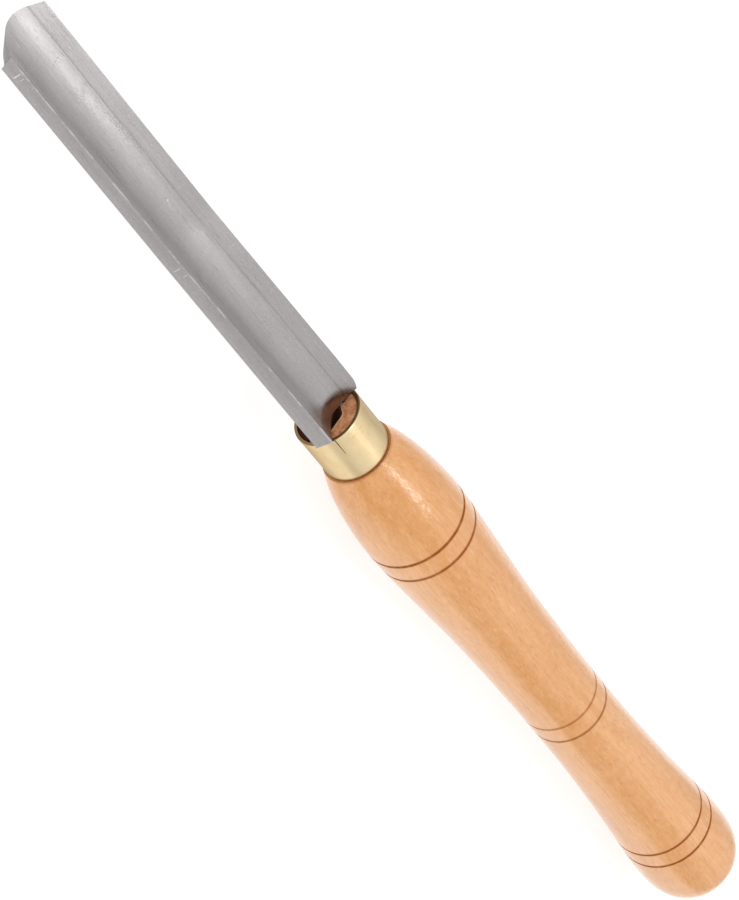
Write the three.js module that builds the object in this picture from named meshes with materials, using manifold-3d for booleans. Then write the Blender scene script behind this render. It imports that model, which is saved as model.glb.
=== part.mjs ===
// Shallow forged gouge: a steel blade with a tang, a brass ferrule and a turned beech handle.
//
// Millimetres. +X points from the butt of the handle to the cutting edge, and +Z points out of the open
// side of the flute. Every shape is drawn about the handle's axis: x is the station, counted from the
// front rim of the ferrule and positive towards the edge, y is sideways and z is up. The finished group
// is then moved so that the origin is under the middle of the tool, at the height of its lowest point.

import * as THREE from 'three';
import { mergeVertices } from 'three/addons/utils/BufferGeometryUtils.js';
import Module from 'manifold-3d';

const wasm = await Module();
wasm.setup();

// ---------------------------------------------------------------- driving dimensions

const GAP = 0.3;
const ROUND_SEGMENTS = 48;

const FERRULE_RADIUS = 11.1;
const FERRULE_WALL = 1.0;
const FERRULE_LENGTH = 18.9;
const FERRULE_EDGE_BREAK = 0.2;

const HANDLE_END = -304.5;
const BUTT_FLAT_RADIUS = 5;
const TENON_FRONT = -0.4;
const TENON_RECESS = 7;
const GROOVE_WIDTH = 0.7;
const GROOVE_DEPTH = 0.35;
const GROOVE_PAIRS = [[-57.1, -65.4], [-168.0, -176.5], [-258.1, -266.6]];

// The turned outline: [station, radius] at the collar, shoulder swell, waist, butt swell and butt.
const HANDLE_OUTLINE = [
  [-303.4, 9.3], [-300.6, 14.1], [-296.5, 17.35], [-290.5, 19.0], [-282, 19.4], [-270, 18.95], [-252, 17.75],
  [-230, 16.35], [-200, 15.15], [-170, 14.75], [-145, 14.85], [-115, 15.45], [-88, 16.75], [-68, 17.7],
  [-56, 17.9], [-46, 17.35], [-37, 16.3], [-29, 14.85], [-23.5, 13.35], [-19.8, 12.0],
];
const OUTLINE_STEPS = 52;

const BLADE_SHOULDER = 1.25;
const BLADE_TIP = 170.5;
const FLOOR_RADIUS = 10.9;
const WALL_SLOPE = THREE.MathUtils.degToRad(31);
const RIM_SLOPE = THREE.MathUtils.degToRad(60);
const FLOOR_DROP = 0.6;
const FLOOR_DROP_LENGTH = 8;
const EDGE_SWEEP = THREE.MathUtils.degToRad(44.5);
const BEVEL_AT_MIDDLE = 4.8;
const BEVEL_AT_WING = 1.8;

// The blade's forging: [station, half width of the flute, height of its rims, thickness].
const BLADE_FORM = [
  [15, 9.9, 8.2, 5.3], [85, 9.65, 6.8, 4.2], [170.5, 9.3, 7.3, 3.85],
];
const FLOOR_ARC_STEPS = 12;
const BLADE_STATIONS = [BLADE_SHOULDER, 4, 8, 15, 35, 60, 85, 115, 155];

// The tang: [station, half width, top, bottom].
const TANG_SECTIONS = [
  [9, 4.6, 3.3, -0.4], [0, 4.8, 2.8, -1.2], [-8, 4.2, 2.2, -2.2], [-16, 3.4, 1.9, -1.9], [-60, 1.7, 1.2, -1.2],
];
const TANG_CORNER = 0.5;
const SOCKET_CLEARANCE = 0.4;
const SOCKET_END = -62;

// ---------------------------------------------------------------- mesh helpers

/** Merges equal corners and drops the triangles that this closes up. */
function welded(geometry) {
  const bare = geometry.clone();
  bare.deleteAttribute('normal');
  bare.deleteAttribute('uv');
  const merged = mergeVertices(bare, 1e-4);
  const corners = merged.index.array;
  const kept = [];
  for (let i = 0; i < corners.length; i += 3) {
    const [a, b, c] = [corners[i], corners[i + 1], corners[i + 2]];
    if (a !== b && b !== c && c !== a) {
      kept.push(a, b, c);
    }
  }
  merged.setIndex(kept);
  return merged;
}

function toSolid(geometry) {
  const closed = welded(geometry);
  const vertProperties = new Float32Array(closed.attributes.position.array);
  const triVerts = new Uint32Array(closed.index.array);
  return new wasm.Manifold(new wasm.Mesh({ numProp: 3, vertProperties, triVerts }));
}

function toGeometry(solid) {
  const mesh = solid.getMesh();
  const geometry = new THREE.BufferGeometry();
  geometry.setAttribute('position', new THREE.BufferAttribute(mesh.vertProperties, 3));
  geometry.setIndex(new THREE.BufferAttribute(mesh.triVerts, 1));
  geometry.computeVertexNormals();
  return geometry;
}

/** Turns a closed [station, radius] profile about the X axis, with a flat facet straight below it. */
function turned(profile) {
  const points = profile.map(([station, radius]) => new THREE.Vector2(radius, station));
  const lathe = new THREE.LatheGeometry(points, ROUND_SEGMENTS, Math.PI / ROUND_SEGMENTS);
  return lathe.rotateZ(-Math.PI / 2);
}

/**
 * Skins rings of [x, y, z] points, each ring anticlockwise seen from +X. Both ends are closed by a strip
 * from the first half of the ring to its second half, so a hollow section closes properly too.
 */
function lofted(rings) {
  const count = rings[0].length;
  const positions = rings.flat(2);
  const faces = [];
  const quad = (a, b, c, d) => faces.push(a, b, c, a, c, d);
  for (let ring = 0; ring + 1 < rings.length; ring += 1) {
    const near = ring * count;
    const far = near + count;
    for (let i = 0; i < count; i += 1) {
      const next = (i + 1) % count;
      quad(near + i, near + next, far + next, far + i);
    }
  }
  const last = (rings.length - 1) * count;
  for (let i = 0; i + 1 < count / 2; i += 1) {
    const mirror = count - 1 - i;
    quad(mirror, mirror - 1, i + 1, i);
    quad(last + i, last + i + 1, last + mirror - 1, last + mirror);
  }
  const geometry = new THREE.BufferGeometry();
  geometry.setAttribute('position', new THREE.Float32BufferAttribute(positions, 3));
  geometry.setIndex(faces);
  return geometry;
}

// ---------------------------------------------------------------- handle

/** The turned outline as a smooth curve, with a burnt V groove cut at each ring's station. */
function handleOutline() {
  const knots = HANDLE_OUTLINE.map(([station, radius]) => new THREE.Vector2(station, radius));
  const points = new THREE.SplineCurve(knots).getSpacedPoints(OUTLINE_STEPS).map((p) => [p.x, p.y]);
  const radiusAt = (station) => {
    const after = points.findIndex((p) => p[0] > station);
    const [x0, r0] = points[after - 1];
    const [x1, r1] = points[after];
    return r0 + ((r1 - r0) * (station - x0)) / (x1 - x0);
  };
  let outline = points;
  for (const station of GROOVE_PAIRS.flat()) {
    const clear = outline.filter((p) => Math.abs(p[0] - station) > GROOVE_WIDTH);
    const radius = radiusAt(station);
    const lips = [-0.5, 0.5].map((side) => {
      const lip = station + side * GROOVE_WIDTH;
      return [lip, radiusAt(lip)];
    });
    clear.push(lips[0], [station, radius - GROOVE_DEPTH], lips[1]);
    outline = clear;
  }
  return outline.sort((a, b) => a[0] - b[0]);
}

/** Everything in front of the recess and below the crescent of wood left above the tang. */
function tenonRecess() {
  const reach = FERRULE_RADIUS;
  const edge = [[reach, 6.4], [7.4, 5.3], [5.8, 4.4], [2.6, 4.1], [-0.9, 4.5], [-3.4, 3.7], [-6.9, 4.6], [-reach, 5.6]];
  const outline = new THREE.Shape();
  outline.moveTo(-reach, -reach);
  outline.lineTo(reach, -reach);
  edge.forEach(([y, z]) => outline.lineTo(y, z));
  const block = new THREE.ExtrudeGeometry(outline, { depth: TENON_RECESS + 1, bevelEnabled: false });
  const yzToX = new THREE.Matrix4().makeBasis(
    new THREE.Vector3(0, 1, 0),
    new THREE.Vector3(0, 0, 1),
    new THREE.Vector3(1, 0, 0),
  );
  block.applyMatrix4(yzToX);
  return block.translate(TENON_FRONT - TENON_RECESS, 0, 0);
}

function handleGeometry() {
  const tenonRadius = FERRULE_RADIUS - FERRULE_WALL - GAP - 0.05;
  const seat = -FERRULE_LENGTH - GAP;
  const collar = HANDLE_OUTLINE.at(-1)[1] - 0.3;
  const profile = [
    [HANDLE_END, 0],
    [HANDLE_END, BUTT_FLAT_RADIUS],
    ...handleOutline(),
    [seat, collar],
    [seat, tenonRadius],
    [TENON_FRONT, tenonRadius],
    [TENON_FRONT, 0],
  ];
  return toGeometry(
    toSolid(turned(profile))
      .subtract(toSolid(tenonRecess()))
      .subtract(toSolid(tangLoft(SOCKET_CLEARANCE, SOCKET_END))),
  );
}

// ---------------------------------------------------------------- ferrule

function ferruleGeometry() {
  const outer = FERRULE_RADIUS;
  const inner = FERRULE_RADIUS - FERRULE_WALL;
  const edge = FERRULE_EDGE_BREAK;
  const back = -FERRULE_LENGTH;
  const profile = [
    [back, outer - edge],
    [back + edge, outer],
    [-edge, outer],
    [0, outer - edge],
    [0, inner + edge],
    [-edge, inner],
    [back, inner],
    [back, outer - edge],
  ];
  return welded(turned(profile));
}

// ---------------------------------------------------------------- blade

/** Half the section of one face of the blade, as [y, z] from the middle of the floor out to the edge. */
function faceCurve(halfWidth, edgeHeight, floorRadius) {
  const centre = edgeHeight + (floorRadius - halfWidth * Math.sin(WALL_SLOPE)) / Math.cos(WALL_SLOPE);
  const half = [];
  for (let step = 0; step <= FLOOR_ARC_STEPS / 2; step += 1) {
    const turn = (WALL_SLOPE * step) / (FLOOR_ARC_STEPS / 2);
    half.push([floorRadius * Math.sin(turn), centre - floorRadius * Math.cos(turn)]);
  }
  const [wallStart, wallHeight] = half.at(-1);
  half.push([(wallStart + halfWidth) / 2, (wallHeight + edgeHeight) / 2]);
  half.push([halfWidth, edgeHeight]);
  return half;
}

/** The whole face from +Y to -Y. */
function fullFace(half) {
  const minusSide = half.slice(1).map(([y, z]) => [-y, z]);
  return [...half.toReversed(), ...minusSide];
}

/** Half width, rim height and thickness at a station, in straight runs between the rows of the form. */
function bladeForm(station) {
  const after = Math.max(1, BLADE_FORM.findIndex((row, i) => i > 0 && row[0] >= station));
  const [low, high] = [BLADE_FORM[after - 1], BLADE_FORM[after]];
  const t = THREE.MathUtils.clamp((station - low[0]) / (high[0] - low[0]), 0, 1);
  return low.slice(1).map((value, i) => THREE.MathUtils.lerp(value, high[i + 1], t));
}

function bladeSection(station) {
  const [halfWidth, rimHeight, thickness] = bladeForm(station);
  const top = fullFace(faceCurve(halfWidth, rimHeight, FLOOR_RADIUS));
  const under = fullFace(faceCurve(
    halfWidth + thickness * Math.cos(RIM_SLOPE),
    rimHeight - thickness * Math.sin(RIM_SLOPE),
    FLOOR_RADIUS + thickness,
  ));
  const nearShoulder = THREE.MathUtils.clamp(1 - station / FLOOR_DROP_LENGTH, 0, 1);
  const sunk = top.map(([y, z]) => {
    const middle = 1 - (y / halfWidth) ** 2;
    return [y, z - FLOOR_DROP * nearShoulder * middle];
  });
  return { top: sunk, under };
}

/** A ring at a right angle to the axis. */
function bladeRing(station) {
  const { top, under } = bladeSection(station);
  return [...top, ...under.toReversed()].map(([y, z]) => [station, y, z]);
}

/** The last ring: the swept cutting edge along the flute, and the back of the bevel under it. */
function edgeRing() {
  const { top, under } = bladeSection(BLADE_TIP);
  const floor = top[(top.length - 1) / 2][1];
  const edge = top.map(([y, z]) => [BLADE_TIP - (z - floor) * Math.tan(EDGE_SWEEP), y, z]);
  const heel = under.map(([y, z], i) => {
    const wing = Math.abs(top[i][0]) / top[0][0];
    return [edge[i][0] - THREE.MathUtils.lerp(BEVEL_AT_MIDDLE, BEVEL_AT_WING, wing ** 5), y, z];
  });
  return [...edge, ...heel.toReversed()];
}

/** The tang, grown by clearance all round and run on to endStation where it makes the handle's socket. */
function tangLoft(clearance = 0, endStation = TANG_SECTIONS.at(-1)[0]) {
  const rings = TANG_SECTIONS.map(([station, halfWidth, top, bottom], i) => {
    const x = i === TANG_SECTIONS.length - 1 ? endStation : station;
    const w = halfWidth + clearance;
    const t = top + clearance;
    const b = bottom - clearance;
    const c = TANG_CORNER;
    const ring = [[w, t - c], [w - c, t], [c - w, t], [-w, t - c], [-w, b + c], [c - w, b], [w - c, b], [w, b + c]];
    return ring.map(([y, z]) => [x, y, z]);
  });
  return lofted(rings.reverse());
}

function bladeGeometry() {
  const rings = BLADE_STATIONS.map(bladeRing);
  rings.push(edgeRing());
  return toGeometry(toSolid(lofted(rings)).add(toSolid(tangLoft())));
}

// ---------------------------------------------------------------- the tool

const steel = new THREE.MeshStandardMaterial({ color: 0xafacac, metalness: 1, roughness: 0.35 });
const brass = new THREE.MeshStandardMaterial({ color: 0xe6d2a0, metalness: 1, roughness: 0.3 });
const beech = new THREE.MeshStandardMaterial({ color: 0xe8b282, metalness: 0, roughness: 0.35 });

function piece(name, geometry, material) {
  const mesh = new THREE.Mesh(geometry, material);
  mesh.name = name;
  return mesh;
}

const tool = new THREE.Group();
tool.add(piece('blade', bladeGeometry(), steel));
tool.add(piece('ferrule', ferruleGeometry(), brass));
tool.add(piece('handle', handleGeometry(), beech));

const box = new THREE.Box3().setFromObject(tool, true);
tool.position.set(-(box.min.x + box.max.x) / 2, 0, -box.min.z);

export default tool;
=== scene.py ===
"""Looks of the turning gouge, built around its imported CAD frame. Blender 4.5, metres."""

import math

import bmesh
import bpy
from mathutils import Matrix, Vector


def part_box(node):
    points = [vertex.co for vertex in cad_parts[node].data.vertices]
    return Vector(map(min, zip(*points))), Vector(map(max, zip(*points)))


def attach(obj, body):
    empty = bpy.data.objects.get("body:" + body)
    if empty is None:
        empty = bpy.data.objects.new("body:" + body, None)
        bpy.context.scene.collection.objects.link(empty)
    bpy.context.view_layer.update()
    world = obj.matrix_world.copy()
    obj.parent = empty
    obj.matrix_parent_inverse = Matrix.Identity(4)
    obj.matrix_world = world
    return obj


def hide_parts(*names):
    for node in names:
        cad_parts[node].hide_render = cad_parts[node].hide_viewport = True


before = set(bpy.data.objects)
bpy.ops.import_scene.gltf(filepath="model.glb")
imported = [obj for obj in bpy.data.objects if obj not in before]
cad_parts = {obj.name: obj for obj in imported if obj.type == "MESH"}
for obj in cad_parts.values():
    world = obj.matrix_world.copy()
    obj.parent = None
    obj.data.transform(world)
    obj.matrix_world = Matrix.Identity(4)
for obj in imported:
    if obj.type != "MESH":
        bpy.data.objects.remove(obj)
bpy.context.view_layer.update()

MM = 0.001

# ---------------------------------------------------------------- places taken from the frame

FERRULE_LOW, FERRULE_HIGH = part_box("ferrule")
HANDLE_LOW, HANDLE_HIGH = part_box("handle")
BLADE_LOW, BLADE_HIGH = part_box("blade")

# Stations are counted along X in millimetres from the front rim of the ferrule, positive to the edge.
FRONT_X = FERRULE_HIGH.x
AXIS_Z = (FERRULE_LOW.z + FERRULE_HIGH.z) / 2


def at(station, y, z):
    """A point of the tool, from millimetres about the handle's axis."""
    return Vector((FRONT_X + station * MM, y * MM, AXIS_Z + z * MM))


def station_of(x):
    return (x - FRONT_X) / MM


# ---------------------------------------------------------------- shape, in millimetres

FERRULE_RADIUS = (FERRULE_HIGH.z - FERRULE_LOW.z) / 2 / MM
FERRULE_WALL = 1.0
FERRULE_BACK = station_of(FERRULE_LOW.x)

SCORE_FROM_FRONT = 3.6
# The open end of the tube's seam: degrees from the top towards +Y, then its size.
SEAM_TURN = 48.8
SEAM_LENGTH = 7.3
SEAM_WIDTH = 0.42
SEAM_DEPTH = 0.5

HANDLE_END = station_of(HANDLE_LOW.x)
BUTT_FLAT_RADIUS = 5
BUTT_CHAMFER = (0.1, 0.9)
TENON_FRONT = station_of(HANDLE_HIGH.x)
TENON_RECESS = 7
# The cut edge of the wood above the hollow, as (y, z) from +Y to -Y.
RECESS_EDGE = [
    (11.1, 6.2), (7.4, 4.7), (5.8, 4.0), (2.6, 4.5), (-0.9, 5.1), (-3.4, 3.6), (-6.9, 4.3), (-11.1, 5.4),
]
GAP = 0.3
# The shoulder of the wood that the ferrule is driven against.
SEAT = FERRULE_BACK - 0.12
SEAT_BURN_DEPTH = 0.3
GROOVE_WIDTH = 0.7
GROOVE_DEPTH = 0.35
GROOVE_ROUNDNESS = 1.5
GROOVE_STEPS = 6
GROOVES = [-57.1, -65.4, -168.0, -176.5, -258.1, -266.6]
BURN_DEPTHS = [1.0, 0.9, 0.5, 0.7, 0.95, 1.0]
HANDLE_OUTLINE = [
    (-303.4, 9.3), (-300.6, 14.1), (-296.5, 17.35), (-290.5, 19.0), (-282, 19.4), (-270, 18.95), (-252, 17.75),
    (-230, 16.35), (-200, 15.15), (-170, 14.75), (-145, 14.85), (-115, 15.45), (-88, 16.75), (-68, 17.7),
    (-56, 17.9), (-46, 17.35), (-37, 16.3), (-29, 14.85), (-23.5, 13.35), (-19.8, 12.0),
]

BLADE_SHOULDER = 1.25
BLADE_TIP = station_of(BLADE_HIGH.x)
# The forging: station, half width of the flute, height of its rims, thickness.
BLADE_FORM = [(15, 9.9, 8.2, 5.3), (85, 9.65, 6.8, 4.2), (BLADE_TIP, 9.3, 7.3, 3.85)]
FLOOR_RADIUS = 10.9
WALL_SLOPE = math.radians(31)
RIM_SLOPE = math.radians(60)
FLOOR_DROP = 0.6
FLOOR_DROP_LENGTH = 8
EDGE_ROUNDING = 0.2
CREASE_WIDTH = 0.5
CREASE_DEPTH = 0.03
# The ground-down corner of the -Y rim: its run along the blade and across it, and how far it drops and draws in.
CORNER_LENGTH = 5
CORNER_ACROSS = (5, 9.5)
CORNER_DROP = 1.0
CORNER_INSET = 0.5
EDGE_SWEEP = math.radians(44.5)
BEVEL_AT_MIDDLE = 4.8
BEVEL_AT_WING = 1.8
BEVEL_POWER = 5
# The tang: station, half width, top, bottom.
TANG_SECTIONS = [(0, 4.8, 2.8, -1.2), (-8, 4.2, 2.2, -2.2), (-16, 3.4, 1.9, -1.9), (-60, 1.7, 1.2, -1.2)]
TANG_AT_SHOULDER = (BLADE_SHOULDER, 4.9, 3.0, -1.0)
SOCKET_CLEARANCE = 0.4
SOCKET_END = -62
SOCKET_POINTS = 48

ROUND_SEGMENTS = 192
ARC_STEPS = 20
WALL_STEPS = 8
SHARP_ABOVE = math.radians(35)


# ---------------------------------------------------------------- mesh helpers

def mesh_object(name, vertices, faces):
    mesh = bpy.data.meshes.new(name)
    mesh.from_pydata([tuple(v) for v in vertices], [], faces)
    shape = bmesh.new()
    shape.from_mesh(mesh)
    bmesh.ops.recalc_face_normals(shape, faces=shape.faces)
    shape.to_mesh(mesh)
    shape.free()
    made = bpy.data.objects.new(name, mesh)
    bpy.context.scene.collection.objects.link(made)
    return made


def lathe(name, profile, segments):
    """Turns a [station, radius] profile about the axis. Radius 0 makes a pole, and the ends join if neither is one."""
    vertices = []
    rings = []
    for station, radius in profile:
        if radius == 0:
            rings.append([len(vertices)] * segments)
            vertices.append(at(station, 0, 0))
            continue
        rings.append(list(range(len(vertices), len(vertices) + segments)))
        for i in range(segments):
            turn = 2 * math.pi * i / segments
            vertices.append(at(station, radius * math.cos(turn), radius * math.sin(turn)))
    closed = profile[0][1] != 0
    pairs = list(zip(rings, rings[1:] + rings[:1])) if closed else list(zip(rings, rings[1:]))
    faces = []
    for near, far in pairs:
        for i in range(segments):
            j = (i + 1) % segments
            corners = [near[i], near[j], far[j], far[i]]
            faces.append(list(dict.fromkeys(corners)))
    return mesh_object(name, vertices, faces)


def loft(name, rings):
    """Skins rings of points and closes both ends with a strip between the two halves of the ring."""
    count = len(rings[0])
    vertices = [point for ring in rings for point in ring]
    faces = []
    for ring in range(len(rings) - 1):
        for i in range(count):
            j = (i + 1) % count
            near, far = ring * count, (ring + 1) * count
            faces.append([near + i, near + j, far + j, far + i])
    for start in (0, (len(rings) - 1) * count):
        for i in range(count // 2 - 1):
            mirror = count - 1 - i
            faces.append([start + i, start + i + 1, start + mirror - 1, start + mirror])
    return mesh_object(name, vertices, faces)


def cut(piece, cutter):
    """Takes the cutter's shape out of the piece and removes the cutter."""
    modifier = piece.modifiers.new("cut", "BOOLEAN")
    modifier.operation = "DIFFERENCE"
    modifier.solver = "EXACT"
    modifier.object = cutter
    apply_modifiers(piece)
    bpy.data.objects.remove(cutter)


def apply_modifiers(piece):
    depsgraph = bpy.context.evaluated_depsgraph_get()
    result = bpy.data.meshes.new_from_object(piece.evaluated_get(depsgraph))
    piece.modifiers.clear()
    piece.data = result


def soften(piece, width_mm, angle_degrees):
    """Rounds the edges that turn by more than the angle."""
    modifier = piece.modifiers.new("round", "BEVEL")
    modifier.width = width_mm * MM
    modifier.segments = 2
    modifier.limit_method = "ANGLE"
    modifier.angle_limit = math.radians(angle_degrees)
    apply_modifiers(piece)


def shade(piece):
    """Shades the piece smooth, except across its sharp edges."""
    piece.data.shade_smooth()
    piece.data.set_sharp_from_angle(angle=SHARP_ABOVE)


def finish_piece(piece, node, material):
    shade(piece)
    piece.data.materials.clear()
    piece.data.materials.append(material)
    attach(piece, "root")
    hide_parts(node)


def smooth_curve(knots, steps):
    """A Catmull-Rom curve through the knots, which is the curve that the CAD outline follows."""
    points = []
    for i in range(len(knots) - 1):
        p0, p1 = knots[max(i - 1, 0)], knots[i]
        p2, p3 = knots[i + 1], knots[min(i + 2, len(knots) - 1)]
        for step in range(steps):
            t = step / steps
            points.append(tuple(
                b + 0.5 * t * ((c - a) + t * ((2 * a - 5 * b + 4 * c - d) + t * (3 * (b - c) + d - a)))
                for a, b, c, d in zip(p0, p1, p2, p3)
            ))
    return points + [tuple(knots[-1])]


# ---------------------------------------------------------------- handle

def handle_profile():
    """The turned outline as (station, radius), fitted to the CAD handle and with the grooves let in."""
    points = smooth_curve(HANDLE_OUTLINE, 12)
    widest = max(radius for _, radius in points)
    fit = (HANDLE_HIGH.z - HANDLE_LOW.z) / 2 / MM / widest
    points = [(station, radius * fit) for station, radius in points]

    def radius_at(station):
        for (x0, r0), (x1, r1) in zip(points, points[1:]):
            if x0 <= station <= x1:
                return r0 + (r1 - r0) * (station - x0) / (x1 - x0)

    profile = [p for p in points if all(abs(p[0] - g) > GROOVE_WIDTH * 0.75 for g in GROOVES)]
    for groove in GROOVES:
        for step in range(-GROOVE_STEPS, GROOVE_STEPS + 1):
            across = step / GROOVE_STEPS
            depth = GROOVE_DEPTH * (1 - abs(across) ** GROOVE_ROUNDNESS)
            station = groove + across * GROOVE_WIDTH / 2
            profile.append((station, radius_at(station) - depth))
    return sorted(profile)


def make_handle():
    tenon_radius = FERRULE_RADIUS - FERRULE_WALL - GAP
    collar = HANDLE_OUTLINE[-1][1]
    profile = [
        (HANDLE_END, 0), (HANDLE_END, BUTT_FLAT_RADIUS),
        (HANDLE_END + BUTT_CHAMFER[0], BUTT_FLAT_RADIUS + BUTT_CHAMFER[1]),
    ]
    profile += handle_profile()
    profile += [
        (SEAT + 0.08, collar - 0.2), (SEAT, collar - 0.35), (SEAT, tenon_radius),
        (TENON_FRONT - 0.3, tenon_radius), (TENON_FRONT, tenon_radius - 0.3), (TENON_FRONT, 0),
    ]
    handle = lathe("turned_handle", profile, ROUND_SEGMENTS)
    cut(handle, recess_cutter())
    cut(handle, loft("socket_cutter", socket_rings()))
    return handle


def recess_cutter():
    """What was chiselled away in front of the tang, below the crescent of wood that is left."""
    reach = FERRULE_RADIUS
    wavy = smooth_curve(RECESS_EDGE, 4)
    outline = [(-reach, -reach), (reach, -reach)] + wavy
    front, back = TENON_FRONT + 1, TENON_FRONT - TENON_RECESS
    count = len(outline)
    vertices = [at(back, y, z) for y, z in outline] + [at(front, y, z) for y, z in outline]
    faces = [list(range(count)), list(range(count, 2 * count))]
    faces += [[i, (i + 1) % count, count + (i + 1) % count, count + i] for i in range(count)]
    return mesh_object("recess_cutter", vertices, faces)


# ---------------------------------------------------------------- ferrule

def make_ferrule():
    outer = FERRULE_RADIUS
    inner = outer - FERRULE_WALL
    round_edge = [(0.25, 0.0), (0.12, 0.04), (0.04, 0.12), (0.0, 0.25)]
    back = [(FERRULE_BACK + a, outer - b) for a, b in reversed(round_edge)]
    front = [(-a, outer - b) for a, b in round_edge]
    lip = [(-a, inner + b) for a, b in reversed(round_edge)]
    body = [(FERRULE_BACK * (1 - i / 20), outer) for i in range(1, 20)]
    profile = back + body + front + lip + [(FERRULE_BACK, inner)]
    ferrule = lathe("brass_ferrule", profile, ROUND_SEGMENTS)
    cut(ferrule, seam_cutter())
    return ferrule


def seam_cutter():
    """A thin blade that opens the end of the tube's seam, from the front rim back."""
    turn = math.radians(SEAM_TURN)
    out = Vector((0, math.sin(turn), math.cos(turn)))
    side = Vector((0, math.cos(turn), -math.sin(turn)))
    corners = []
    for station, half in ((0.5, SEAM_WIDTH / 2), (-SEAM_LENGTH, SEAM_WIDTH / 6)):
        for radius in (FERRULE_RADIUS - SEAM_DEPTH, FERRULE_RADIUS + 0.5):
            for sign in (-1, 1):
                corners.append(at(station, 0, 0) + (out * radius + side * half * sign) * MM)
    faces = [[0, 1, 3, 2], [4, 6, 7, 5], [0, 2, 6, 4], [1, 5, 7, 3], [0, 4, 5, 1], [2, 3, 7, 6]]
    return mesh_object("seam_cutter", corners, faces)


# ---------------------------------------------------------------- blade

def face_curve(half_width, edge_height, floor_radius, crease=0.0):
    """One face of the blade as (y, z) from +Y to -Y: straight walls and a round floor, with a crease between."""
    centre = edge_height + (floor_radius - half_width * math.sin(WALL_SLOPE)) / math.cos(WALL_SLOPE)
    foot = (floor_radius * math.sin(WALL_SLOPE), centre - floor_radius * math.cos(WALL_SLOPE))
    along = (math.cos(WALL_SLOPE), math.sin(WALL_SLOPE))
    half = []
    for step in range(ARC_STEPS):
        turn = (WALL_SLOPE - CREASE_WIDTH / 2 / floor_radius) * step / (ARC_STEPS - 1)
        half.append((floor_radius * math.sin(turn), centre - floor_radius * math.cos(turn)))
    half.append((foot[0] + crease * along[1], foot[1] - crease * along[0]))
    start = (foot[0] + along[0] * CREASE_WIDTH / 2, foot[1] + along[1] * CREASE_WIDTH / 2)
    for step in range(WALL_STEPS + 1):
        t = step / WALL_STEPS
        half.append((start[0] + (half_width - start[0]) * t, start[1] + (edge_height - start[1]) * t))
    return half[::-1] + [(-y, z) for y, z in half[1:]]


def blade_form(station):
    """Half width, rim height and thickness, in straight runs between the rows of the form."""
    for low, high in zip(BLADE_FORM, BLADE_FORM[1:]):
        if station <= high[0]:
            t = min(max((station - low[0]) / (high[0] - low[0]), 0), 1)
            return [a + (b - a) * t for a, b in zip(low[1:], high[1:])]
    return list(BLADE_FORM[-1][1:])


def blade_section(station):
    half_width, rim_height, thickness = blade_form(station)
    top = face_curve(half_width, rim_height, FLOOR_RADIUS, CREASE_DEPTH)
    under = face_curve(
        half_width + thickness * math.cos(RIM_SLOPE),
        rim_height - thickness * math.sin(RIM_SLOPE),
        FLOOR_RADIUS + thickness,
    )
    near_shoulder = min(max(1 - station / FLOOR_DROP_LENGTH, 0), 1) ** 2
    top = [(y, z - FLOOR_DROP * near_shoulder * (1 - (y / half_width) ** 2)) for y, z in top]
    return rounded_corner(station, top), rounded_corner(station, under)


def rounded_corner(station, face):
    """The -Y rim was ground down a little where it ends at the shoulder."""
    start, full = CORNER_ACROSS
    ground = max(0, 1 - (station - BLADE_SHOULDER) / CORNER_LENGTH) ** 2
    moved = []
    for y, z in face:
        reach = min(max((-y - start) / (full - start), 0), 1) * ground
        moved.append((y + CORNER_INSET * reach, z - CORNER_DROP * reach))
    return moved


def blade_ring(station):
    top, under = blade_section(station)
    return [at(station, y, z) for y, z in top + under[::-1]]


def edge_ring():
    """The swept cutting edge along the flute, and the back of the bevel under it."""
    top, under = blade_section(BLADE_TIP)
    floor = min(z for _, z in top)
    ring = []
    heel = []
    for (y, z), (under_y, under_z) in zip(top, under):
        edge = BLADE_TIP - (z - floor) * math.tan(EDGE_SWEEP)
        wing = abs(y) / top[0][0]
        setback = BEVEL_AT_MIDDLE + (BEVEL_AT_WING - BEVEL_AT_MIDDLE) * wing ** BEVEL_POWER
        ring.append(at(edge, y, z))
        heel.append(at(edge - setback, under_y, under_z))
    return ring + heel[::-1]


def tang_ring(station, half_width, top, bottom, count):
    """A rounded oblong with as many points as a ring of the blade, so that the shoulders join up."""
    half = count // 2
    ring = []
    for i in range(count):
        across = (i % half) / (half - 1)
        side = 1 - 2 * across
        y = half_width * math.copysign(abs(side) ** 0.75, side)
        bow = (1 - abs(side) ** 6) ** 0.5
        middle = (top + bottom) / 2
        if i < half:
            ring.append(at(station, y, middle + (top - middle) * bow))
        else:
            ring.append(at(station, -y, middle - (middle - bottom) * bow))
    return ring


def socket_rings():
    """The tang's own sections with clearance all round, carried on a little past its end."""
    *sections, (_, half_width, top, bottom) = TANG_SECTIONS
    rings = []
    for station, half_width, top, bottom in [*sections, (SOCKET_END, half_width, top, bottom)]:
        wide, high, low = half_width + SOCKET_CLEARANCE, top + SOCKET_CLEARANCE, bottom - SOCKET_CLEARANCE
        rings.append(tang_ring(station, wide, high, low, SOCKET_POINTS))
    return rings[::-1]


def make_blade():
    count = len(blade_ring(BLADE_SHOULDER))
    rings = [tang_ring(*section, count) for section in reversed(TANG_SECTIONS)]
    rings.append(tang_ring(*TANG_AT_SHOULDER, count))
    stations = [BLADE_SHOULDER + 0.5 * i for i in range(16)]
    stations += list(range(10, 160, 3))
    rings += [blade_ring(station) for station in stations]
    rings.append(edge_ring())
    blade = loft("forged_blade", rings)
    soften(blade, EDGE_ROUNDING, 30)
    return blade


# ---------------------------------------------------------------- materials

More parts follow.
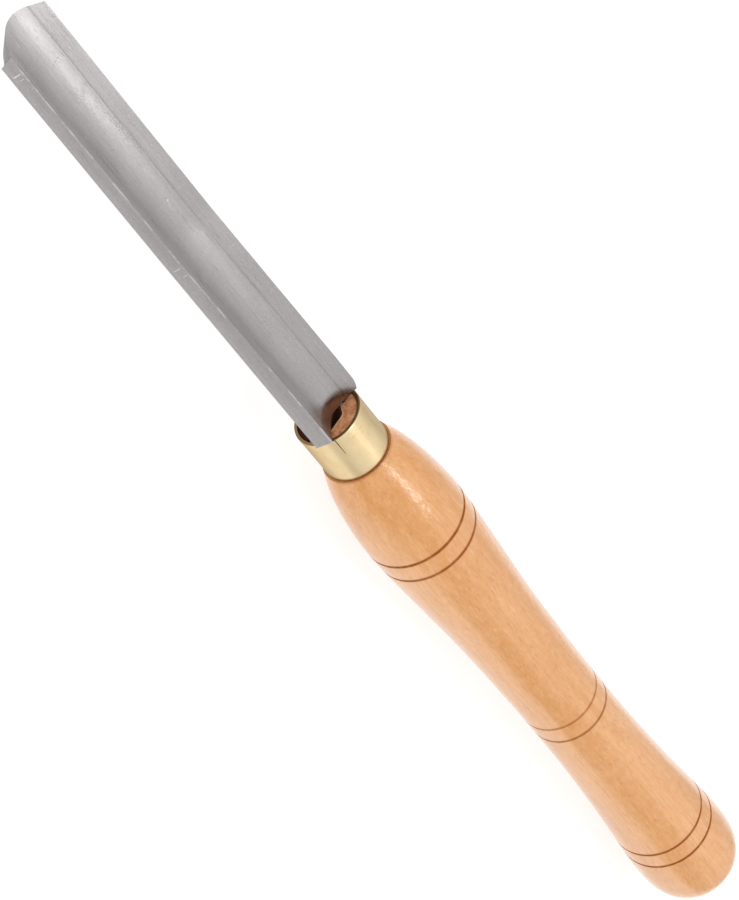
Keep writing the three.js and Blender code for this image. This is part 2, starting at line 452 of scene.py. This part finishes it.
class Graph:
    """A short way to write one material's nodes.

    Noise runs on the piece's own coordinates, in metres. station, y, z and radius are the same place in
    millimetres about the handle's axis, as in at().
    """

    def __init__(self, name):
        self.material = bpy.data.materials.new(name)
        self.material.use_nodes = True
        self.tree = self.material.node_tree
        self.shader = self.tree.nodes["Principled BSDF"]
        self.place = self.new("TexCoord").outputs["Object"]
        self.normal = self.new("NewGeometry").outputs["Normal"]
        from_axis = self.vector("SUBTRACT", self.place, (FRONT_X, 0, AXIS_Z))
        self.station, self.y, self.z = self.split(self.vector("DIVIDE", from_axis, (MM, MM, MM)))
        self.radius = self.math("SQRT", self.add(self.times(self.y, self.y), self.times(self.z, self.z)))

    def new(self, kind):
        return self.tree.nodes.new("ShaderNode" + kind)

    def feed(self, socket, value):
        if isinstance(value, bpy.types.NodeSocket):
            self.tree.links.new(value, socket)
        else:
            socket.default_value = value

    def set(self, **values):
        for name, value in values.items():
            self.feed(self.shader.inputs[name.replace("_", " ")], value)

    def math(self, operation, a, b=0.0, c=0.0):
        node = self.new("Math")
        node.operation = operation
        for socket, value in zip(node.inputs, (a, b, c)):
            self.feed(socket, value)
        return node.outputs[0]

    def add(self, first, *others):
        for value in others:
            first = self.math("ADD", first, value)
        return first

    def times(self, first, *others):
        for value in others:
            first = self.math("MULTIPLY", first, value)
        return first

    def linear(self, value, slope, base):
        return self.math("MULTIPLY_ADD", value, slope, base)

    def sway(self, noise, amount):
        """Turns noise about a half into a shift about zero."""
        return self.times(self.math("SUBTRACT", noise, 0.5), amount)

    def vector(self, operation, a, b=(0, 0, 0)):
        node = self.new("VectorMath")
        node.operation = operation
        self.feed(node.inputs[0], a)
        self.feed(node.inputs[1], b)
        return node.outputs["Vector"]

    def split(self, vector):
        node = self.new("SeparateXYZ")
        self.feed(node.inputs[0], vector)
        return node.outputs

    def combine(self, x, y, z):
        node = self.new("CombineXYZ")
        for socket, value in zip(node.inputs, (x, y, z)):
            self.feed(socket, value)
        return node.outputs[0]

    def grey(self, value):
        node = self.new("CombineColor")
        for socket in node.inputs:
            self.feed(socket, value)
        return node.outputs[0]

    def noise(self, per_metre, detail=2.0, roughness=0.5, offset=(0, 0, 0), place=None):
        """Noise from 0 to 1, with its own count of features per metre along each axis."""
        node = self.new("TexNoise")
        scaled = self.vector("MULTIPLY", self.place if place is None else place, per_metre)
        self.feed(node.inputs["Vector"], self.vector("ADD", scaled, offset))
        node.inputs["Scale"].default_value = 1.0
        node.inputs["Detail"].default_value = detail
        node.inputs["Roughness"].default_value = roughness
        return node.outputs["Fac"]

    def span(self, value, low, high, to_low=0.0, to_high=1.0):
        """Carries low..high smoothly over to to_low..to_high."""
        node = self.new("MapRange")
        node.interpolation_type = "SMOOTHSTEP"
        self.feed(node.inputs["Value"], value)
        node.inputs["From Min"].default_value = low
        node.inputs["From Max"].default_value = high
        node.inputs["To Min"].default_value = to_low
        node.inputs["To Max"].default_value = to_high
        return node.outputs["Result"]

    def mix(self, amount, first, second, blend="MIX"):
        node = self.new("Mix")
        node.data_type = "RGBA"
        node.blend_type = blend
        self.feed(node.inputs[0], amount)
        for socket, value in ((node.inputs[6], first), (node.inputs[7], second)):
            self.feed(socket, value if isinstance(value, bpy.types.NodeSocket) else (*value, 1))
        return node.outputs[2]

    def curve(self, value, knots, reach, top):
        """Reads a curve of (-reach..reach, 0..top) knots at the value."""
        node = self.new("FloatCurve")
        line = node.mapping.curves[0]
        while len(line.points) < len(knots):
            line.points.new(0.5, 0.5)
        for point, (across, up) in zip(line.points, sorted(knots)):
            point.location = ((across + reach) / (2 * reach), up / top)
        node.mapping.update()
        self.feed(node.inputs["Value"], self.linear(value, 1 / (2 * reach), 0.5))
        return self.times(node.outputs[0], top)

    def bump(self, height, distance_mm, strength):
        node = self.new("Bump")
        self.feed(node.inputs["Height"], height)
        node.inputs["Distance"].default_value = distance_mm * MM
        node.inputs["Strength"].default_value = strength
        return node.outputs["Normal"]


# ---------------------------------------------------------------- steel

LEFT_RIM = (9.0, 9.6)
# The band across the -Y rim that is darkened as painted shade.
RIGHT_RIM_SHADE = (-9.6, -10.1)
# Nicks in the left rim: station, half width, and from where to where they reach across the rim.
NICKS = [(161.3, 0.3, 9.8, 10.9), (159.6, 0.16, 9.9, 10.5), (84.0, 0.2, 10.3, 11.3), (81.0, 0.16, 10.0, 10.8)]
NICK_SLANT = 0.3
NICK_CORE = 0.4
NICK_FADE = 0.2
# The brown painted shade and reflection of the wood in front of the shoulder: how far it reaches, and how its end bows
# back on the right.
ROOT_SHADE_LENGTH = 6.2
ROOT_SHADE_BOW = 9.0
ROOT_SHADE_BOW_PER_MM = 0.085


def steel():
    """Ground steel: brushed lengthways, the bevel crossways, with small scratches and nicks along the rims."""
    g = Graph("ground_steel")
    towards_edge, _, upwards = g.split(g.normal)
    facing_edge = g.span(towards_edge, 0.3, 0.5)
    upper_face = g.span(upwards, 0.2, 0.5)
    left_rim = g.span(g.y, *LEFT_RIM)
    right_rim_shade = g.span(g.y, *RIGHT_RIM_SHADE)

    brushed = g.noise((75, 2000, 2000), detail=3, roughness=0.65)
    coarse = g.noise((22, 700, 700), detail=3, roughness=0.6, offset=(3, 7, 1))
    crossways = g.noise((2400, 90, 2400), detail=3, roughness=0.6, offset=(9, 2, 4))
    cloud = g.noise((60, 160, 160), detail=3, offset=(5, 5, 8))
    grain = g.noise((1400, 2200, 2200), detail=2, roughness=0.7, offset=(2, 6, 3))
    lengthways = g.add(g.times(brushed, 0.6), g.times(coarse, 0.4))
    ground = g.add(g.times(lengthways, g.linear(facing_edge, -1.0, 1.0)), g.times(crossways, facing_edge))

    scratch_run = g.noise((420, 70, 70), detail=1, offset=(11, 3, 5))
    scratch_line = g.noise((150, 1800, 1800), detail=1, offset=(7, 1, 9))
    scratches = g.times(g.span(scratch_run, 0.62, 0.68), g.span(scratch_line, 0.58, 0.64))
    specks = g.span(g.noise((1300, 1600, 1600), detail=1, offset=(1, 8, 2)), 0.7, 0.76)
    nicks = rim_nicks(g)

    value = g.linear(ground, 0.2, 0.328)
    value = g.add(value, g.sway(cloud, 0.08), g.sway(grain, 0.2))
    value = g.add(value, g.times(scratches, 0.05), g.times(specks, left_rim, 0.12), g.times(nicks, 0.3))
    # Painted shade: a dark line along the crease at the foot of the right wall.
    value = g.add(value, g.times(crease_shade(g), upper_face, -0.16))
    # Painted shade: both rims are darkened, the -Y rim far more than the +Y rim.
    value = g.times(value, g.linear(left_rim, -0.02, 1.0), g.linear(right_rim_shade, -0.22, 1.0))
    # Painted shade: the bevel's colour is darkened to stand in for a darker reflection than the bright floor gives it.
    value = g.times(value, g.linear(facing_edge, -0.3, 1.0))
    # Painted highlight: a bright broken line along the corner of the left rim.
    value = g.add(value, g.times(corner_highlight(g), upper_face, 0.2))
    colour = g.mix(1.0, g.grey(value), (1.0, 0.95, 0.948), "MULTIPLY")
    # Painted shade and reflection: browner and darker on the flute just in front of the shoulder.
    shaded_brown = g.mix(1.0, colour, (0.7, 0.61, 0.57), "MULTIPLY")
    colour = g.mix(g.times(root_shade_and_reflection(g), upper_face), colour, shaded_brown)

    rough = g.add(g.linear(g.math("SUBTRACT", ground, 0.5), 0.15, 0.29), g.sway(cloud, 0.08))
    height = g.add(ground, g.times(grain, 0.08), g.times(g.math("MAXIMUM", nicks, scratches), -0.6))
    across = g.vector("NORMALIZE", g.vector("CROSS_PRODUCT", g.normal, (1, 0, 0)))
    g.set(Base_Color=colour, Metallic=1.0, Roughness=rough, Anisotropic=0.99, Tangent=across,
          Normal=g.bump(height, 0.1, 0.65))
    return g.material


def rim_nicks(g):
    nicks = 0.0
    for station, half_width, low, high in NICKS:
        slant = g.times(g.math("SUBTRACT", g.y, low), NICK_SLANT)
        offset = g.math("SUBTRACT", g.add(g.station, slant), station)
        line = g.span(g.math("ABSOLUTE", offset), half_width, half_width * NICK_CORE)
        reach = g.times(g.span(g.y, low - NICK_FADE, low), g.span(g.y, high, high - NICK_FADE))
        nicks = g.math("MAXIMUM", nicks, g.times(line, reach))
    return nicks


def crease_shade(g):
    """Painted shade: the dark line where the right wall of the flute meets its floor."""
    foot = FLOOR_RADIUS * math.sin(WALL_SLOPE)
    line = g.span(g.math("ABSOLUTE", g.add(g.y, foot)), 0.34, 0.08)
    return g.times(line, g.noise((40, 40, 40), detail=2, offset=(8, 8, 8)))


def corner_highlight(g):
    """A painted highlight along the corner between the flute and its left rim, in stretches."""
    root, tip = BLADE_FORM[0], BLADE_FORM[-1]
    narrowing = (tip[1] - root[1]) / (tip[0] - root[0])
    corner = g.linear(g.math("SUBTRACT", g.station, root[0]), narrowing, root[1])
    line = g.span(g.math("ABSOLUTE", g.math("SUBTRACT", g.y, corner)), 0.26, 0.1)
    return g.times(line, g.span(g.noise((260, 60, 60), detail=3), 0.44, 0.62, 0.1, 1.0))


# Painted brown shade and reflection of the wood, on the flute in front of the shoulder.
def root_shade_and_reflection(g):
    bow = g.math("MINIMUM", g.times(g.y, ROOT_SHADE_BOW_PER_MM), 0.0)
    end = g.linear(g.times(bow, bow), -ROOT_SHADE_BOW, ROOT_SHADE_LENGTH)
    past_end = g.math("SUBTRACT", g.math("SUBTRACT", g.station, BLADE_SHOULDER), end)
    return g.times(g.span(past_end, 1.1, -0.7), g.span(g.y, 9.4, LEFT_RIM[0]))


# ---------------------------------------------------------------- brass

def brass():
    """Drawn tube, rubbed satin, dulled at the rims and a little darker in patches."""
    g = Graph("satin_brass")
    drawn = g.noise((70, 2300, 2300), detail=3, roughness=0.6)
    rubbed = g.noise((1500, 260, 260), detail=2, offset=(4, 1, 7))
    patches = g.noise((130, 170, 170), detail=3, offset=(2, 9, 4))
    spots = g.span(g.noise((1100, 1100, 1100), detail=1, offset=(8, 3, 1)), 0.68, 0.76)
    from_front = g.times(g.station, -1.0)
    from_back = g.math("SUBTRACT", g.station, FERRULE_BACK)
    rims = g.span(g.math("MINIMUM", from_front, from_back), 0.4, 0.1)
    cut_end = g.span(from_front, 0.32, 0.12)
    lining = g.span(g.radius, FERRULE_RADIUS - 0.25, FERRULE_RADIUS - 0.6)
    scored_line = g.span(g.math("ABSOLUTE", g.math("SUBTRACT", from_front, SCORE_FROM_FRONT)), 0.22, 0.05)
    scored_line = g.times(scored_line, g.span(g.noise((200, 330, 330), detail=1), 0.5, 0.62))

    colour = g.mix(g.span(patches, 0.3, 0.7), (0.84, 0.665, 0.395), (0.77, 0.595, 0.33))
    colour = g.mix(g.times(g.span(drawn, 0.35, 0.75), 0.35), colour, (0.88, 0.735, 0.47))
    colour = g.mix(g.times(spots, 0.3), colour, (0.42, 0.3, 0.13))
    colour = g.mix(g.times(rims, 0.7), colour, (0.3, 0.2, 0.09))
    colour = g.mix(g.times(cut_end, 0.8), colour, (0.2, 0.125, 0.055))
    colour = g.mix(g.times(scored_line, 0.4), colour, (0.4, 0.28, 0.13))
    colour = g.mix(lining, colour, (0.26, 0.17, 0.09))

    rough = g.add(g.linear(g.math("SUBTRACT", drawn, 0.5), 0.2, 0.33), g.sway(patches, 0.1))
    height = g.add(drawn, g.times(rubbed, 0.5))
    g.set(Base_Color=colour, Metallic=1.0, Roughness=rough, Specular_Tint=(0.5, 0.47, 0.48, 1),
          Normal=g.bump(height, 0.03, 0.35))
    return g.material


# ---------------------------------------------------------------- wood

def beech():
    """Lacquered beech: streaks and short flecks along the grain, burnt rings, and bare end grain at the tang."""
    g = Graph("lacquered_beech")
    wander = g.sway(g.noise((9, 26, 26), detail=2, offset=(6, 6, 1)), 0.012)
    swept = g.vector("ADD", g.place, g.combine(0.0, wander, wander))
    streaks = g.noise((9, 150, 150), detail=3, roughness=0.55, place=swept)
    fine = g.noise((45, 1300, 1300), detail=3, roughness=0.6, offset=(3, 2, 8), place=swept)
    flecks = g.span(g.noise((240, 1900, 1900), detail=1, offset=(5, 9, 2), place=swept), 0.6, 0.7)
    pale_flecks = g.span(g.noise((260, 1700, 1700), detail=1, offset=(1, 4, 7), place=swept), 0.62, 0.72)
    mottle = g.noise((240, 420, 420), detail=3, roughness=0.65, offset=(9, 9, 3))
    burn, halo = burnt_rings(g)
    inside = g.times(g.span(g.radius, 10.8, 10.5), g.span(g.station, SEAT + 0.2, SEAT + 0.6))

    colour = g.mix(g.span(streaks, 0.32, 0.68), (0.82, 0.41, 0.165), (0.70, 0.3, 0.072))
    colour = g.mix(g.times(g.span(fine, 0.35, 0.7), 0.5), colour, (0.63, 0.265, 0.07))
    colour = g.mix(g.times(g.span(mottle, 0.35, 0.7), 0.3), colour, (0.85, 0.455, 0.21))
    colour = g.mix(g.times(flecks, 0.42), colour, (0.55, 0.21, 0.03))
    colour = g.mix(g.times(pale_flecks, 0.28), colour, (0.92, 0.57, 0.3))
    colour = g.mix(g.times(halo, 0.3), colour, (0.55, 0.22, 0.08))
    colour = g.mix(burn, colour, (0.36, 0.1, 0.0))
    colour = g.mix(inside, colour, end_grain(g))

    rough = g.add(g.linear(fine, 0.2, 0.32), g.times(g.math("MAXIMUM", burn, inside), 0.3))
    relief = g.bump(g.add(g.times(fine, 0.5), g.times(flecks, -0.5)), 0.05, 0.4)
    orange_peel = g.noise((420, 620, 620), detail=3, roughness=0.6, offset=(4, 8, 4))
    g.set(Base_Color=colour, Roughness=rough, Normal=relief, Specular_IOR_Level=0.3,
          Coat_Weight=g.linear(burn, -0.8, 0.9), Coat_Roughness=0.08, Coat_Normal=g.bump(orange_peel, 0.25, 0.7))
    return g.material


def burnt_rings(g):
    """How strongly the wood is burnt in the grooves and against the ferrule, and the browning beside them."""
    wobble = g.sway(g.noise((60, 260, 260), detail=2), 0.3)
    burn = 0.0
    halo = 0.0
    for station, depth in [*zip(GROOVES, BURN_DEPTHS), (SEAT, SEAT_BURN_DEPTH)]:
        away = g.math("ABSOLUTE", g.add(g.math("SUBTRACT", g.station, station), wobble))
        burn = g.math("MAXIMUM", burn, g.times(g.span(away, 0.85, 0.45), depth))
        halo = g.math("MAXIMUM", halo, g.times(g.span(away, 1.6, 0.4), depth))
    scorch = g.noise((300, 420, 420), detail=3, offset=(2, 2, 2))
    return g.times(burn, g.span(scorch, 0.25, 0.6, 0.75, 1.0)), halo


def end_grain(g):
    """The bare front of the tenon, torn, with a painted highlight along the cut edge, and painted fill light down in
    the shaded hollow, a flat greyer and paler colour.
    """
    pores = g.noise((900, 1500, 1500), detail=2, roughness=0.7, offset=(7, 7, 7))
    torn = g.noise((800, 620, 620), detail=3, roughness=0.6, offset=(1, 3, 6))
    above_cut = g.math("SUBTRACT", g.z, g.curve(g.y, RECESS_EDGE, reach=11.1, top=8))
    hollow_fill_light = g.span(g.station, TENON_FRONT - 0.5, TENON_FRONT - 1.6)
    colour = g.mix(g.span(pores, 0.35, 0.7), (0.82, 0.34, 0.14), (0.5, 0.17, 0.06))
    colour = g.mix(g.times(g.span(torn, 0.42, 0.62), 0.75), colour, (1.0, 0.5, 0.25))
    # Painted highlight: paler along the cut edge of the crescent.
    colour = g.mix(g.times(g.span(above_cut, 0.8, 0.2), 0.7), colour, (1.0, 0.6, 0.38))
    # Painted fill light: the shaded hollow gets a flat, greyer and paler colour.
    return g.mix(hollow_fill_light, colour, (0.7, 0.4, 0.3))


# ---------------------------------------------------------------- pieces

finish_piece(make_handle(), "handle", beech())
finish_piece(make_ferrule(), "ferrule", brass())
finish_piece(make_blade(), "blade", steel())


# ---------------------------------------------------------------- stage, lights and camera

def make_floor():
    """A pale table lit softly from within, so that the tool's shadow is washed out."""
    half, height = 6.0, -0.0002
    corners = [(-half, -half, height), (half, -half, height), (half, half, height), (-half, half, height)]
    floor = mesh_object("floor", corners, [[0, 1, 2, 3]])
    g = Graph("pale_floor")
    g.set(Base_Color=(0.3, 0.3, 0.3, 1), Roughness=0.9, Emission_Color=(1, 1, 1, 1), Emission_Strength=0.8)
    floor.data.materials.append(g.material)


HORIZON_LIGHT = 0.57
FULL_LIGHT_ABOVE = 0.6


def make_world():
    """A white room, a little darker towards the horizon than overhead."""
    world = bpy.data.worlds.new("studio")
    world.use_nodes = True
    tree = world.node_tree
    direction = tree.nodes.new("ShaderNodeTexCoord").outputs["Generated"]
    split = tree.nodes.new("ShaderNodeSeparateXYZ")
    tree.links.new(direction, split.inputs[0])
    spread = tree.nodes.new("ShaderNodeMapRange")
    tree.links.new(split.outputs["Z"], spread.inputs["Value"])
    spread.inputs["From Max"].default_value = FULL_LIGHT_ABOVE
    spread.inputs["To Min"].default_value = HORIZON_LIGHT
    tree.links.new(spread.outputs["Result"], tree.nodes["Background"].inputs["Strength"])
    tree.nodes["Background"].inputs["Color"].default_value = (1, 1, 1, 1)
    bpy.context.scene.world = world


def add_ceiling_strip(name, start, end, y, height, width, radiance):
    """A long soft lamp that hangs level over the tool and runs the same way as it does."""
    light = bpy.data.lights.new(name, "AREA")
    light.shape = "RECTANGLE"
    light.size, light.size_y = end - start, width
    light.energy = radiance * math.pi * light.size * light.size_y
    lamp = bpy.data.objects.new(name, light)
    lamp.location = ((start + end) / 2, y, height)
    bpy.context.scene.collection.objects.link(lamp)


# The camera stands in front of the edge, to the tool's left and above it. Lengths are in millimetres.
FOCAL_LENGTH = 94.0
SENSOR_HEIGHT = 36.0
VIEW_TO_AXIS = math.radians(46.5)
VIEW_ROLL = math.radians(33.3)
AXIS_TILT_IN_IMAGE = math.radians(50.316)
CAMERA_DEPTH = 695.6
FRONT_OFFSET = -16.1
SHIFT = (0.00906, 0.00735)


def make_camera():
    tip = Vector((1, 0, 0))
    across = Vector((0, math.cos(VIEW_ROLL), -math.sin(VIEW_ROLL)))
    facing = Vector((0, math.sin(VIEW_ROLL), math.cos(VIEW_ROLL)))
    along = -math.sin(VIEW_TO_AXIS) * tip + math.cos(VIEW_TO_AXIS) * facing
    forward = -math.cos(VIEW_TO_AXIS) * tip - math.sin(VIEW_TO_AXIS) * facing
    right = math.cos(AXIS_TILT_IN_IMAGE) * along - math.sin(AXIS_TILT_IN_IMAGE) * across
    down = math.sin(AXIS_TILT_IN_IMAGE) * along + math.cos(AXIS_TILT_IN_IMAGE) * across
    place = at(0, 0, 0) - along * FRONT_OFFSET * MM - forward * CAMERA_DEPTH * MM
    data = bpy.data.cameras.new("photo_camera")
    data.sensor_fit = "VERTICAL"
    data.sensor_height = SENSOR_HEIGHT
    data.lens = FOCAL_LENGTH
    data.shift_x, data.shift_y = SHIFT
    data.clip_start = 0.01
    camera = bpy.data.objects.new("photo_camera", data)
    turn = Matrix((right, -down, -forward)).transposed().to_4x4()
    camera.matrix_world = Matrix.Translation(place) @ turn
    bpy.context.scene.collection.objects.link(camera)
    bpy.context.scene.camera = camera


make_floor()
make_world()
add_ceiling_strip("ceiling_strip", start=-1.6, end=-0.14, y=0.055, height=2.6, width=0.35, radiance=7.5)
make_camera()
bpy.context.scene.view_settings.view_transform = "Standard"
